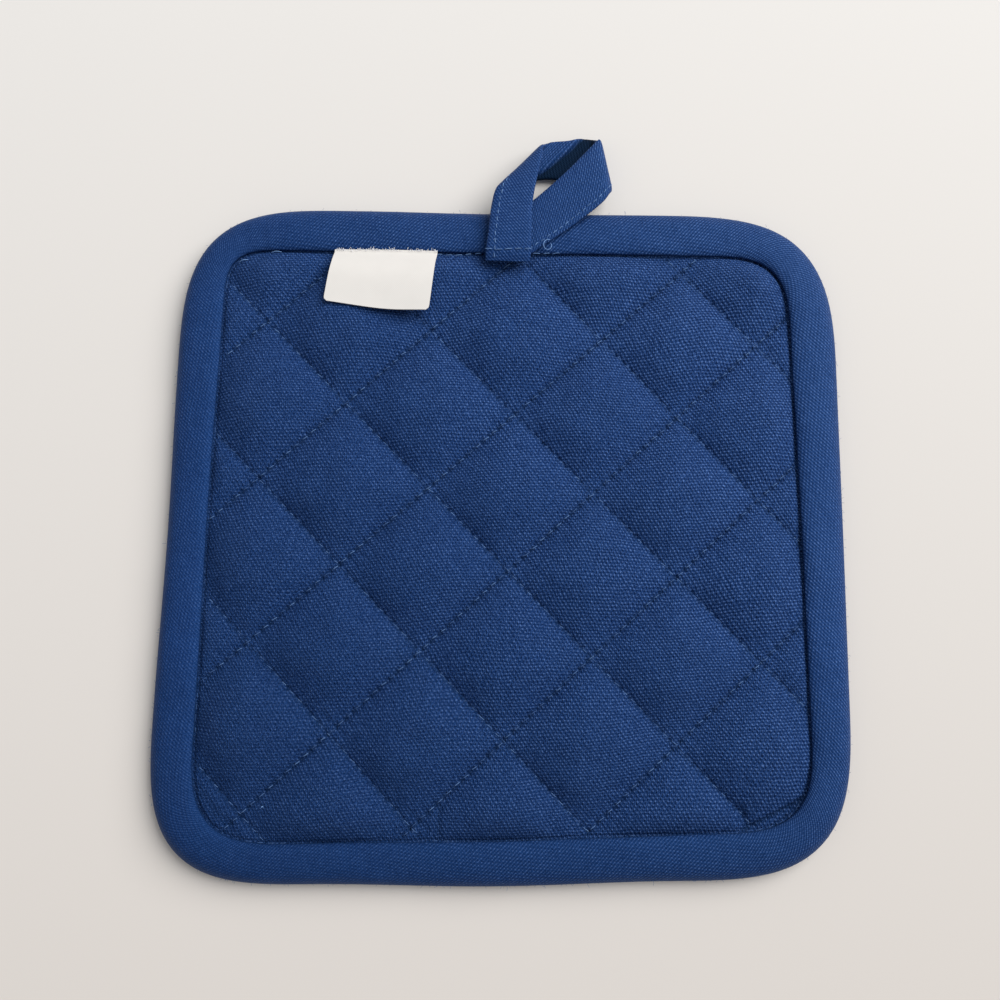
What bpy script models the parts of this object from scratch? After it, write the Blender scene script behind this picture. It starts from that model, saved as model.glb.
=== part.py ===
"""Quilted pot holder: a square quilted pad, its edge binding, a hanging loop of folded tape and a label.

Metres, +Z up, +Y towards the hanging loop. The sizes below are in millimetres, in the pad's own frame: its
origin is on the floor under the middle of the pad. The finished part is then moved as one, so that its origin
lies under the middle of its bounding box. Pieces that lie on each other are about 0.3 mm apart.
"""

import math

import bmesh
import bpy
import numpy as np
from mathutils import Vector, geometry

MM = 0.001

# Corners of the finished edge, anticlockwise: where the two straight sides would meet, how far from there
# the rounding begins, and how far the side that follows bows outwards at its middle.
# corner, x, y, reach, bow
EDGE_CORNERS = (
    ("top right", 100.8, 99.8, 55.0, -0.4),
    ("top left", -100.2, 100.4, 52.0, -0.5),
    ("bottom left", -100.5, -101.6, 48.0, 1.0),
    ("bottom right", 99.5, -97.6, 51.0, 0.1),
)
# The same for the line where the binding is sewn down.
SEWN_CORNERS = (
    ("top right", 86.0, 85.9, 26.0, 0.0),
    ("top left", -86.9, 86.1, 18.0, 0.4),
    ("bottom left", -88.1, -90.6, 32.0, 0.6),
    ("bottom right", 88.3, -84.6, 30.0, 0.2),
)
CORNER_SQUARENESS = 3.4  # exponent of the corner's curve: 2 is an ellipse, more is squarer
CORNER_STEPS = 10
SIDE_STEPS = 9

# Quilting seams: where each crosses the pad's left-right axis, and its angle from that axis in degrees.
# seam, crossing, angle
RISING_SEAMS = (
    ("past the corner", -194.8, 42.6),
    ("first", -142.1, 42.6),
    ("second", -89.4, 42.7),
    ("third", -36.4, 41.9),
    ("fourth", 14.3, 43.0),
    ("fifth", 64.8, 43.3),
    ("sixth", 114.4, 43.5),
    ("seventh", 164.5, 43.5),
    ("past the corner", 215.0, 43.5),
)
FALLING_SEAMS = (
    ("past the corner", -199.0, 134.0),
    ("first", -152.5, 134.0),
    ("second", -106.5, 133.7),
    ("third", -59.5, 134.4),
    ("fourth", -11.2, 134.5),
    ("fifth", 36.8, 134.6),
    ("sixth", 84.0, 133.4),
    ("seventh", 131.4, 134.2),
    ("past the corner", 179.0, 134.2),
)

# The padding: flattened to the seams' thickness along each seam, swelling between them.
SEAM_LOW = 2.4
SEAM_HIGH = 5.0
SWELL_UP = 4.0
SWELL_DOWN = 4.9  # more than SEAM_LOW, so that the underside lies flat on the floor between the seams
SWELL_POWER = 2.3
EDGE_ROLL = 13.0  # width of the swelling along the sewn line of the binding
LATTICE_SHARES = (0.0, 0.1, 0.26, 0.5, 0.74, 0.9)  # of the way from one seam to the next

# The pad's edge inside the binding. share is 0 at the finished edge and 1 at the sewn line.
# share, low, high
PAD_EDGE = (
    (0.20, 2.9, 4.5),
    (0.50, 1.85, 5.55),
    (1.00, SEAM_LOW, SEAM_HIGH),
)
ROLL_RINGS = (1.8, 5.2)  # rings of points inside the sewn line
LATTICE_MARGIN = 7.0  # the seams' own points stay this far inside the sewn line
INSIDE_THE_RIM = 1  # Blender's triangulation type that keeps only the triangles inside the outer ring
PLAN_WELD = 0.01  # points of the plan this near each other become one

# Section of the binding, once round: its outside from the upper sewn edge over the finished edge to the
# lower one, then its inside, which clears the pad's edge.
# share, height
BINDING_SECTION = (
    (1.00, 6.3),
    (0.92, 6.9),
    (0.78, 7.3),
    (0.58, 7.4),
    (0.36, 7.2),
    (0.18, 6.5),
    (0.06, 5.2),
    (0.00, 3.6),
    (0.04, 1.9),
    (0.14, 0.6),
    (0.28, 0.0),
    (0.84, 0.0),
    (0.95, 0.4),
    (1.00, 1.0),
    (1.00, 2.0),
    (0.50, 1.5),
    (0.17, 2.6),
    (0.15, 3.7),
    (0.17, 4.8),
    (0.50, 5.9),
    (1.00, 5.35),
)

# The hanging loop, a folded tape, from its upper sewn end to its lower one. Each row gives the tape's two
# edges in the middle of its thickness: the edge that is stitched shut, then the folded one.
# place, stitched x, y, z, folded x, y, z
TAPE_THICKNESS = 1.4
TAPE_STEPS = 4
LOOP_SECTIONS = (
    ("end tab", -7.0, 82.2, 8.9, 6.7, 81.9, 8.9),
    ("sewn down", -6.9, 85.2, 10.2, 6.9, 85.0, 10.2),
    ("over the binding", -6.2, 91.5, 10.8, 7.1, 91.5, 10.8),
    ("past the edge", -5.4, 99.0, 10.9, 7.3, 100.0, 10.9),
    ("before the upper fold", -4.2, 104.6, 10.6, 8.2, 106.5, 10.9),
    ("upper fold, top", -2.5, 106.8, 9.8, 10.1, 116.0, 9.7),
    ("upper fold, shoulder", -1.1, 108.5, 8.3, 10.6, 120.5, 8.4),
    ("upper fold, nose", -0.2, 109.6, 5.8, 10.9, 122.4, 5.9),
    ("upper fold, heel", 1.2, 110.4, 3.2, 12.2, 123.9, 3.3),
    ("lower run, left", 5.4, 111.6, 2.0, 14.6, 124.9, 2.1),
    ("lower run, middle", 13.5, 112.6, 1.9, 18.9, 125.4, 1.9),
    ("lower run, right", 23.6, 110.8, 1.9, 23.4, 126.5, 2.0),
    ("far fold, heel", 29.4, 108.2, 2.5, 26.4, 126.0, 2.7),
    ("far fold, nose", 31.7, 107.0, 5.4, 28.0, 124.2, 5.6),
    ("far fold, shoulder", 31.1, 104.8, 8.2, 27.7, 122.9, 8.3),
    ("lower leg, far end", 28.4, 101.1, 9.0, 25.0, 119.7, 9.0),
    ("lower leg, middle", 20.8, 94.7, 8.9, 17.2, 111.2, 9.0),
    ("lower leg, over the edge", 14.0, 89.7, 8.7, 7.8, 102.4, 8.8),
    ("lower leg, end", 6.4, 84.4, 8.3, -2.8, 93.8, 8.7),
)

# The care label, from the edge that is sewn in under the binding to its free edge: its left side, its middle
# and its right side.
# place, left x, y, z, middle x, y, z, right x, y, z
LABEL_THICKNESS = 1.0
LABEL_STEPS = 3
LABEL_SECTIONS = (
    ("sewn edge", -53.4, 85.4, 6.5, -37.6, 85.5, 6.5, -21.8, 85.3, 6.5),
    ("rise", -53.9, 82.0, 8.3, -38.1, 81.8, 8.2, -22.3, 81.6, 8.4),
    ("shoulder", -54.6, 77.0, 9.7, -38.7, 76.2, 9.7, -22.8, 75.8, 9.9),
    ("free edge", -55.7, 68.3, 10.2, -37.6, 65.9, 10.1, -23.8, 65.5, 10.7),
)

# Colours of the dyed cotton and of the white label, and their roughness.
BLUE_COTTON = (0.016, 0.050, 0.165)
BLUE_BINDING = (0.018, 0.056, 0.180)
WHITE_TAPE = (0.800, 0.780, 0.740)
CLOTH_ROUGHNESS = 0.9
CREASE_ANGLE = math.radians(50)  # edges sharper than this stay sharp when shaded


def unit(vector):
    return vector / np.linalg.norm(vector)


def rounded_outline(corners):
    """The outline's points, anticlockwise: a superellipse at each corner and a bowed side after it."""
    arcs = []
    for index, (_, x, y, reach, _) in enumerate(corners):
        corner = np.array((x, y))
        before = unit(np.array(corners[index - 1][1:3]) - corner) * reach
        after = unit(np.array(corners[(index + 1) % len(corners)][1:3]) - corner) * reach
        arc = []
        for step in range(CORNER_STEPS + 1):
            angle = math.pi / 2 * step / CORNER_STEPS
            left = max(math.cos(angle), 0) ** (2 / CORNER_SQUARENESS)
            done = math.sin(angle) ** (2 / CORNER_SQUARENESS)
            arc.append(corner + before * (1 - done) + after * (1 - left))
        arcs.append(arc)
    points = []
    for index, arc in enumerate(arcs):
        points += arc
        start, end = arc[-1], arcs[(index + 1) % len(arcs)][0]
        along = unit(end - start)
        outwards = np.array((along[1], -along[0]))
        bow = corners[index][4]
        for step in range(1, SIDE_STEPS):
            share = step / SIDE_STEPS
            points.append(start + (end - start) * share + outwards * bow * math.sin(math.pi * share) ** 2)
    return np.array(points)


EDGE_LINE = rounded_outline(EDGE_CORNERS)
SEWN_LINE = rounded_outline(SEWN_CORNERS)


def ring_under_binding(share):
    return EDGE_LINE + share * (SEWN_LINE - EDGE_LINE)


def ring_inside_sewn_line(inset):
    along = np.roll(SEWN_LINE, -1, axis=0) - np.roll(SEWN_LINE, 1, axis=0)
    inwards = np.stack((-along[:, 1], along[:, 0]), axis=1)
    inwards /= np.linalg.norm(inwards, axis=1)[:, None]
    return SEWN_LINE + inset * inwards


def distance_inside_sewn_line(point):
    """Distance to the sewn line, negative outside it."""
    start = SEWN_LINE
    side = np.roll(SEWN_LINE, -1, axis=0) - start
    away = point - start
    share = np.clip((away * side).sum(axis=1) / (side * side).sum(axis=1), 0, 1)
    nearest = np.linalg.norm(away - share[:, None] * side, axis=1)
    inside = (side[:, 0] * away[:, 1] - side[:, 1] * away[:, 0]).min() >= 0
    return nearest.min() if inside else -nearest.min()


def seam_number(point, seams):
    """Where a point lies among the seams: 2.0 on the seam with index 2, 2.5 half-way to the next one."""
    past = [point[0] - point[1] / math.tan(math.radians(angle)) - crossing for _, crossing, angle in seams]
    for index in range(len(seams) - 1):
        if past[index + 1] <= 0 or index == len(seams) - 2:
            return index + past[index] / (past[index] - past[index + 1])


def lattice_point(rising, falling):
    """Where the seams with these numbers cross. A number between whole ones is a line between two seams."""
    slopes, crossings = [], []
    for number, seams in ((rising, RISING_SEAMS), (falling, FALLING_SEAMS)):
        index = min(int(number), len(seams) - 2)
        (_, first_crossing, first_angle), (_, next_crossing, next_angle) = seams[index : index + 2]
        share = number - index
        angle = math.radians(first_angle + share * (next_angle - first_angle))
        slopes.append(1 / math.tan(angle))
        crossings.append(first_crossing + share * (next_crossing - first_crossing))
    y = (crossings[1] - crossings[0]) / (slopes[0] - slopes[1])
    return np.array((crossings[0] + slopes[0] * y, y))


def swelling(share):
    """0 at a seam, 1 at the middle of a diamond, round like a cushion between them."""
    return 1 - (1 - min(max(share, 0), 1)) ** SWELL_POWER


def padding_at(point):
    """The pad's low and high face at a point inside the sewn line."""
    rise = swelling(distance_inside_sewn_line(point) / EDGE_ROLL)
    for seams in (RISING_SEAMS, FALLING_SEAMS):
        number = seam_number(point, seams)
        rise *= swelling(2 * abs(number - round(number)))
    return max(0, SEAM_LOW - SWELL_DOWN * rise), SEAM_HIGH + SWELL_UP * rise


def cloth_material(name, colour):
    material = bpy.data.materials.new(name)
    material.use_nodes = True
    shader = material.node_tree.nodes["Principled BSDF"]
    shader.inputs["Base Color"].default_value = (*colour, 1)
    shader.inputs["Roughness"].default_value = CLOTH_ROUGHNESS
    shader.inputs["Metallic"].default_value = 0
    return material


def solid(name, points, faces, material):
    """A closed mesh object, from points in millimetres, with its faces turned outwards."""
    mesh = bpy.data.meshes.new(name)
    mesh.from_pydata([Vector(point) * MM for point in points], [], faces)
    shape = bmesh.new()
    shape.from_mesh(mesh)
    bmesh.ops.recalc_face_normals(shape, faces=shape.faces)
    shape.to_mesh(mesh)
    shape.free()
    mesh.materials.append(material)
    mesh.shade_smooth()
    mesh.set_sharp_from_angle(angle=CREASE_ANGLE)
    piece = bpy.data.objects.new(name, mesh)
    bpy.context.collection.objects.link(piece)
    return piece


def seam_edges(points, seams, across):
    """Adds the lattice's points along each seam and returns the edges that hold the seam's crease."""
    edges = []
    for number in range(1, len(seams) - 1):
        previous = None
        for step in range(len(LATTICE_SHARES) * (len(across) - 1)):
            place = step // len(LATTICE_SHARES) + LATTICE_SHARES[step % len(LATTICE_SHARES)]
            crossing = lattice_point(number, place) if seams is RISING_SEAMS else lattice_point(place, number)
            if distance_inside_sewn_line(crossing) < LATTICE_MARGIN:
                previous = None
                continue
            points.append(crossing)
            if previous is not None:
                edges.append((previous, len(points) - 1))
            previous = len(points) - 1
    return edges


def pad_plan():
    """The pad seen from above: points, triangles, and the low and high face at each point."""
    points, heights, edges = [], [], []
    rings = [(ring_under_binding(share), (low, high)) for share, low, high in PAD_EDGE]
    rings += [(ring_inside_sewn_line(inset), None) for inset in ROLL_RINGS]
    for ring, height in rings:
        first = len(points)
        points += list(ring)
        heights += [height] * len(ring)
        edges += [(first + step, first + (step + 1) % len(ring)) for step in range(len(ring))]
    edges += seam_edges(points, RISING_SEAMS, FALLING_SEAMS)
    edges += seam_edges(points, FALLING_SEAMS, RISING_SEAMS)
    shares = LATTICE_SHARES[1:]
    for rising in range(len(RISING_SEAMS) - 1):
        for falling in range(len(FALLING_SEAMS) - 1):
            for rising_share in shares:
                for falling_share in shares:
                    point = lattice_point(rising + rising_share, falling + falling_share)
                    if distance_inside_sewn_line(point) > LATTICE_MARGIN:
                        points.append(point)
    heights += [None] * (len(points) - len(heights))
    flat, _, triangles, sources, _, _ = geometry.delaunay_2d_cdt(
        [Vector(point) for point in points], edges, [], INSIDE_THE_RIM, PLAN_WELD
    )
    plan_heights = []
    for point, source in zip(flat, sources):
        known = [heights[index] for index in source if heights[index]]
        plan_heights.append(known[0] if known else padding_at(np.array(point)))
    return flat, triangles, plan_heights


def quilted_pad():
    """One filled solid: front, filling and back, sewn through along the quilting seams."""
    flat, triangles, heights = pad_plan()
    count = len(flat)
    points = [(x, y, high) for (x, y), (_, high) in zip(flat, heights)]
    points += [(x, y, low) for (x, y), (low, _) in zip(flat, heights)]
    faces = [tuple(triangle) for triangle in triangles]
    faces += [tuple(index + count for index in reversed(triangle)) for triangle in triangles]
    sides = {}
    for triangle in triangles:
        for start, end in zip(triangle, triangle[1:] + triangle[:1]):
            sides[(start, end)] = (end, start)
    for (start, end), back in sides.items():
        if back not in sides:
            faces.append((end, start, start + count, end + count))
    return solid("quilted_pad", points, faces, cloth_material("quilted_cotton", BLUE_COTTON))


def edge_binding():
    """The strip folded over the pad's edge, as one ring of the section above."""
    rings = [ring_under_binding(share) for share, _ in BINDING_SECTION]
    around, across = len(EDGE_LINE), len(BINDING_SECTION)
    points = [
        (*rings[row][place], BINDING_SECTION[row][1]) for place in range(around) for row in range(across)
    ]
    faces = []
    for place in range(around):
        following = (place + 1) % around
        for row in range(across):
            below = (row + 1) % across
            faces.append(
                (
                    place * across + row,
                    following * across + row,
                    following * across + below,
                    place * across + below,
                )
            )
    return solid("edge_binding", points, faces, cloth_material("binding_cotton", BLUE_BINDING))


def smooth_rows(rows, steps):
    """Rows read from a smooth curve through the given ones (Catmull-Rom)."""
    rows = np.array(rows, float)
    ends = np.vstack((2 * rows[0] - rows[1], rows, 2 * rows[-1] - rows[-2]))
    smooth = []
    for index in range(1, len(rows)):
        before, start, end, after = ends[index - 1 : index + 3]
        for step in range(steps):
            t = step / steps
            smooth.append(
                0.5
                * (
                    2 * start
                    + (end - before) * t
                    + (2 * before - 5 * start + 4 * end - after) * t**2
                    + (3 * start - before - 3 * end + after) * t**3
                )
            )
    return np.array([*smooth, rows[-1]])


def sheet(name, rows, thickness, material):
    """A closed sheet of even thickness. rows[i][j] is a point in the middle of its thickness."""
    along = np.gradient(rows, axis=0)
    across = np.gradient(rows, axis=1)
    normals = np.cross(across, along)
    normals /= np.linalg.norm(normals, axis=2)[:, :, None]
    faces_up, faces_down = rows + normals * thickness / 2, rows - normals * thickness / 2
    length, width = rows.shape[:2]
    points = [tuple(point) for side in (faces_up, faces_down) for point in side.reshape(-1, 3)]
    back = length * width

    def at(row, column):
        return row * width + column

    faces = []
    for row in range(length - 1):
        for column in range(width - 1):
            quad = (at(row, column), at(row + 1, column), at(row + 1, column + 1), at(row, column + 1))
            faces.append(quad)
            faces.append(tuple(index + back for index in reversed(quad)))
    rim = [at(row, 0) for row in range(length)] + [at(length - 1, column) for column in range(1, width)]
    rim += [at(row, width - 1) for row in range(length - 2, -1, -1)]
    rim += [at(0, column) for column in range(width - 2, 0, -1)]
    for start, end in zip(rim, rim[1:] + rim[:1]):
        faces.append((end, start, start + back, end + back))
    return solid(name, points, faces, material)


def hanging_loop():
    edges = smooth_rows([section[1:] for section in LOOP_SECTIONS], TAPE_STEPS)
    stitched, folded = edges[:, :3], edges[:, 3:]
    rows = np.stack((stitched, (stitched + folded) / 2, folded), axis=1)
    return sheet("hanging_loop", rows, TAPE_THICKNESS, cloth_material("loop_tape", BLUE_BINDING))


def care_label():
    rows = smooth_rows([section[1:] for section in LABEL_SECTIONS], LABEL_STEPS).reshape(-1, 3, 3)
    across = smooth_rows(rows.transpose(1, 0, 2).reshape(3, -1), LABEL_STEPS)
    rows = across.reshape(len(across), -1, 3).transpose(1, 0, 2)
    return sheet("care_label", rows, LABEL_THICKNESS, cloth_material("label_tape", WHITE_TAPE))


def stand_on_origin(pieces):
    """Moves the whole part so that the origin is under the middle of its bounding box."""
    corners = np.array([vertex.co for piece in pieces for vertex in piece.data.vertices])
    low, high = corners.min(axis=0), corners.max(axis=0)
    holder = bpy.data.objects.new("pot_holder", None)
    bpy.context.collection.objects.link(holder)
    holder.location = (-(low[0] + high[0]) / 2, -(low[1] + high[1]) / 2, -low[2])
    for piece in pieces:
        piece.parent = holder


for old in list(bpy.data.objects):
    bpy.data.objects.remove(old)
stand_on_origin([quilted_pad(), edge_binding(), hanging_loop(), care_label()])
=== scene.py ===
"""Looks of the quilted pot holder: padded cloth, binding, hanging loop, blank label and all their threads.

Sizes are in millimetres in the pad's own frame, as in the part's source: the origin is on the floor under the
middle of the pad, +Y runs towards the hanging loop and +Z up. ORIGIN takes them to the row's frame.
"""

import math
from collections import namedtuple

import bpy
import numpy as np
from mathutils import Matrix, Vector, geometry


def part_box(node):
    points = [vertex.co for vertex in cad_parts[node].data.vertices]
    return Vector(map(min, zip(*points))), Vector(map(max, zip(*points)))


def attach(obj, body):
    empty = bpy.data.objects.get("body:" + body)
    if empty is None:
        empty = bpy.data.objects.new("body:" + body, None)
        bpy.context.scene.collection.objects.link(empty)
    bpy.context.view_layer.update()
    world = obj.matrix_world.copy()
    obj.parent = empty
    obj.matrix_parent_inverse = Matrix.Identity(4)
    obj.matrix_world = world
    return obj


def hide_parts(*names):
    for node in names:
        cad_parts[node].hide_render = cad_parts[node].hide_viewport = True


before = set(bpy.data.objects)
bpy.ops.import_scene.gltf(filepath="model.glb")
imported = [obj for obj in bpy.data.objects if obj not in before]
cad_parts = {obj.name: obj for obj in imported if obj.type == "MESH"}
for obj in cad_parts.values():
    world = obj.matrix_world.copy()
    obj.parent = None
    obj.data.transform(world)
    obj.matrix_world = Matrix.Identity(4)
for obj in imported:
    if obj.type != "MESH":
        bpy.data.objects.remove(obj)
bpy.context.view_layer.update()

MM = 0.001

# ---- Named sizes and tables, the same as in the part's source

# Corners of the finished edge, anticlockwise: where the two straight sides would meet, how far from there
# the rounding begins, and how far the side that follows bows outwards at its middle.
# corner, x, y, reach, bow
EDGE_CORNERS = (
    ("top right", 100.8, 99.8, 55.0, -0.4),
    ("top left", -100.2, 100.4, 52.0, -0.5),
    ("bottom left", -100.5, -101.6, 48.0, 1.0),
    ("bottom right", 99.5, -97.6, 51.0, 0.1),
)
# The same for the line where the binding is sewn down.
SEWN_CORNERS = (
    ("top right", 86.0, 85.9, 26.0, 0.0),
    ("top left", -86.9, 86.1, 18.0, 0.4),
    ("bottom left", -88.1, -90.6, 32.0, 0.6),
    ("bottom right", 88.3, -84.6, 30.0, 0.2),
)
CORNER_SQUARENESS = 3.4

# Quilting seams: where each crosses the pad's left-right axis, and its angle from that axis in degrees.
# seam, crossing, angle
RISING_SEAMS = (
    ("past the corner", -194.8, 42.6),
    ("first", -142.1, 42.6),
    ("second", -89.4, 42.7),
    ("third", -36.4, 41.9),
    ("fourth", 14.3, 43.0),
    ("fifth", 64.8, 43.3),
    ("sixth", 114.4, 43.5),
    ("seventh", 164.5, 43.5),
    ("past the corner", 215.0, 43.5),
)
FALLING_SEAMS = (
    ("past the corner", -199.0, 134.0),
    ("first", -152.5, 134.0),
    ("second", -106.5, 133.7),
    ("third", -59.5, 134.4),
    ("fourth", -11.2, 134.5),
    ("fifth", 36.8, 134.6),
    ("sixth", 84.0, 133.4),
    ("seventh", 131.4, 134.2),
    ("past the corner", 179.0, 134.2),
)

# The padding's faces at the seams, and how far it swells between them.
SEAM_LOW, SEAM_HIGH = 2.4, 5.0
SWELL_UP, SWELL_DOWN = 4.0, 4.9
SWELL_POWER = 2.3
EDGE_ROLL, EDGE_STEEPNESS = 13.0, 3.2

# The pad's edge inside the binding: share of the way from the finished edge to the sewn line, low, high.
PAD_EDGE = ((0.20, 2.9, 4.5), (0.50, 1.85, 5.55), (1.00, SEAM_LOW, SEAM_HIGH))

# Section of the binding, its outside and then its inside.
# share, height
BINDING_OUTSIDE = (
    (1.00, 6.3),
    (0.92, 6.9),
    (0.78, 7.3),
    (0.58, 7.4),
    (0.36, 7.2),
    (0.18, 6.5),
    (0.06, 5.2),
    (0.00, 3.6),
    (0.04, 1.9),
    (0.14, 0.6),
    (0.28, 0.0),
    (0.84, 0.0),
    (0.95, 0.4),
    (1.00, 1.0),
)
BINDING_INSIDE = (
    (1.00, 1.95),
    (0.50, 1.5),
    (0.17, 2.6),
    (0.15, 3.7),
    (0.17, 4.8),
    (0.50, 5.9),
    (1.00, 5.35),
)

# The hanging loop's tape, in the middle of its thickness: its stitched edge, then its folded one.
# place, stitched x, y, z, folded x, y, z
LOOP_SECTIONS = (
    ("end tab", -7.0, 82.2, 8.9, 6.7, 81.9, 8.9),
    ("sewn down", -6.9, 85.2, 10.2, 6.9, 85.0, 10.2),
    ("over the binding", -6.2, 91.5, 10.8, 7.1, 91.5, 10.8),
    ("past the edge", -5.4, 99.0, 10.9, 7.3, 100.0, 10.9),
    ("before the upper fold", -4.2, 104.6, 10.6, 8.2, 106.5, 10.9),
    ("upper fold, top", -2.5, 106.8, 9.8, 10.1, 116.0, 9.7),
    ("upper fold, shoulder", -1.1, 108.5, 8.3, 10.6, 120.5, 8.4),
    ("upper fold, nose", -0.2, 109.6, 5.8, 10.9, 122.4, 5.9),
    ("upper fold, heel", 1.2, 110.4, 3.2, 12.2, 123.9, 3.3),
    ("lower run, left", 5.4, 111.6, 2.0, 14.6, 124.9, 2.1),
    ("lower run, middle", 13.5, 112.6, 1.9, 18.9, 125.4, 1.9),
    ("lower run, right", 23.6, 110.8, 1.9, 23.4, 126.5, 2.0),
    ("far fold, heel", 29.4, 108.2, 2.5, 26.4, 126.0, 2.7),
    ("far fold, nose", 31.7, 107.0, 5.4, 28.0, 124.2, 5.6),
    ("far fold, shoulder", 31.1, 104.8, 8.2, 27.7, 122.9, 8.3),
    ("lower leg, far end", 28.4, 101.1, 9.0, 25.0, 119.7, 9.0),
    ("lower leg, middle", 20.8, 94.7, 8.9, 17.2, 111.2, 9.0),
    ("lower leg, over the edge", 14.0, 89.7, 8.7, 7.8, 102.4, 8.8),
    ("lower leg, end", 6.4, 84.4, 8.3, -2.8, 93.8, 8.7),
)
TAPE_THICKNESS = 1.4

# The label, from its sewn edge to its free one: its left side, its middle and its right side.
# place, left x, y, z, middle x, y, z, right x, y, z
LABEL_SECTIONS = (
    ("sewn edge", -53.4, 85.4, 6.5, -37.6, 85.5, 6.5, -21.8, 85.3, 6.5),
    ("rise", -53.9, 82.0, 8.3, -38.1, 81.8, 8.2, -22.3, 81.6, 8.4),
    ("shoulder", -54.6, 77.0, 9.7, -38.7, 76.2, 9.7, -22.8, 75.8, 9.9),
    ("free edge", -55.7, 68.3, 10.2, -37.6, 65.9, 10.1, -23.8, 65.5, 10.7),
)

# ---- Sizes of the looks

LABEL_HALF, LABEL_CORNER = 0.16, 0.9  # half of the label's thickness, and the radius of its free corners
LABEL_TUCK = (0.7, 0.25)  # how far its cut edge reaches over the binding, and up

# Threads and yarns
STITCH_PITCH = 3.27
STITCH_SEEN = 1.95  # length of thread that shows between two needle holes
STITCH_SLANT = 0.14  # how far a stitch's ends lie to either side of its seam
STITCH_WANDER = 0.08  # how far a whole stitch lies off its seam
THREAD_RADIUS = 0.108
LOOSE_RADIUS, FRAY_RADIUS, FIBRE_RADIUS = 0.12, 0.06, 0.035
THREAD_TIP = 0.35  # share of its radius that a thread keeps at its ends
NEARLY_UP = (0.013, 0.017, 1.0)  # never quite along a thread
FRAY_FIBRES, EDGE_FIBRES = 150, 320
PAD_YARNS, STRIP_YARNS, LABEL_YARNS = (0.575, 0.915), (0.62, 0.81), (0.28, 0.34)  # warp and weft spacing
PAD_SKEW = math.radians(2.5)  # turn of the pad's weft from its left-right axis
GRAIN_SIZE = 0.22
WEAVE_RELIEF, LABEL_RELIEF, THREAD_RELIEF = 0.2, 0.02, 0.05

TAPE_PITCH, TAB_PITCH = 2.3, 3.0
TAPE_SEAM_START, TAPE_SEAM_END = 0.2, 0.1  # share of the tape's width between its open edge and its seam
TAPE_SEAM_ROWS = ((0.04, 8.5), (12.6, 18.0))  # sections between which the seam can be seen
# Rows of stitches across the loop's end and beside it: y, first x, last x, height
TAB_ROWS = ((85.1, -7.2, 7.2, 11.2), (84.9, 7.4, 16.6, 8.6), (85.0, -22.5, -7.6, 6.6))

# Where the loose ends of thread lie: the middle of the curl, and the start of the tail, the bow and the lint
LOOSE_ENDS_AT = ((12.3, 87.2, 9.5), (-82.7, 81.7, 6.2), (-73.2, 85.0, 6.2), (-67.0, -79.6, 8.2))

# Mesh fineness
EDGE_POINTS = 1000  # points round the binding
RIM_EVERY = 2  # the pad's rim has a point at every second one of them
TOP_RIM, UNDER_RIM = (0.35, 0.8, 1.3), (0.6, 1.3)  # insets of the pad's rings of points inside the sewn line
RIM_WIDTH = 1.6  # the seams' lattice begins here, and the relief is full
TOP_STEPS, UNDER_STEPS = 57, 22  # rows of points from one seam to the next
NEAR_SEAMS = 0.65  # how much closer together these rows lie at the seams, from 0 to 1
TAPE_STEPS, TAPE_COLUMNS, NEAR_EDGES = 12, 33, 0.8  # rows in a section of the tape, columns, and how close

# Relief of the pad's cloth
HOLE_DEPTH, HOLE_REACH = 0.26, 0.55
GROOVE_REACH = 0.7
UNDER_PULL = 0.8  # how far the stitches pull in the under cloth, as a share of the upper one's
CROWN_PROUD = 0.4  # how much further the upper cloth puffs up than the plain solid
PUCKER_HEIGHT, PUCKER_REACH = 0.13, 2.6
PUCKER_DRIFT, PUCKER_WAVE = 0.8, 11.0  # how unevenly they rise, and the length of that unevenness
DITCH_DEPTH, DITCH_REACH = 0.6, 0.55  # beside the binding

# How each set of seams looks: its groove's depth, the shares of its brightness that the cloth loses to
# painted shade at a needle hole and beside the seam, how far that shade lies to the lower left, its stitches'
# height and slant.
SeamLook = namedtuple("SeamLook", "groove shade valley shift crown slant")
RISING_LOOK = SeamLook(groove=0.2, shade=0.52, valley=0.03, shift=0.0, crown=0.08, slant=-STITCH_SLANT)
FALLING_LOOK = SeamLook(groove=0.0, shade=0.46, valley=0.0, shift=0.35, crown=-0.07, slant=STITCH_SLANT)
SHADE_REACH, VALLEY_REACH = 0.6, 2.0
BETWEEN_HOLES = 0.35  # share of the full shade that is left half-way between two needle holes
# Painted shade in the ditch and on the binding's edge over it
DITCH_SHADE, BINDING_SHADE = 0.12, 0.12  # the same loss in the ditch, and at the binding's edge over it

# Unevenness of the cloths: height, wavelength, seed
PAD_LUMPS, PAD_RIPPLES = (0.3, 15.0, 5), (0.05, 4.5, 6)
BINDING_LUMPS, BINDING_RIPPLES = (0.22, 26.0, 21), (0.05, 6.0, 22)
FOLD_HEIGHT = 3.6  # of the binding's outermost point. It is uneven above this

# The outer part of the tape's lower run lies high, and the rest dips under the lower leg into painted shade.
# section, share of the tape's width that dips, share of the full lift
RUN_DIP = (
    (7.4, -0.05, 0.0),
    (8.4, 0.00, 1.0),
    (9.4, 0.16, 1.0),
    (10.0, 0.62, 1.0),
    (10.6, 0.95, 1.0),
    (11.4, 1.10, 1.0),
    (12.2, 1.10, 1.0),
    (12.9, 1.10, 0.0),
)
RUN_LIFT, RUN_SLOPE = 1.2, 0.16  # height of the high part, and share of the width over which it rises

# Painted shade in the creases
CREASE_SHADE = 0.4  # share of its brightness that the cloth loses for each millimetre of a crease's depth
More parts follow.
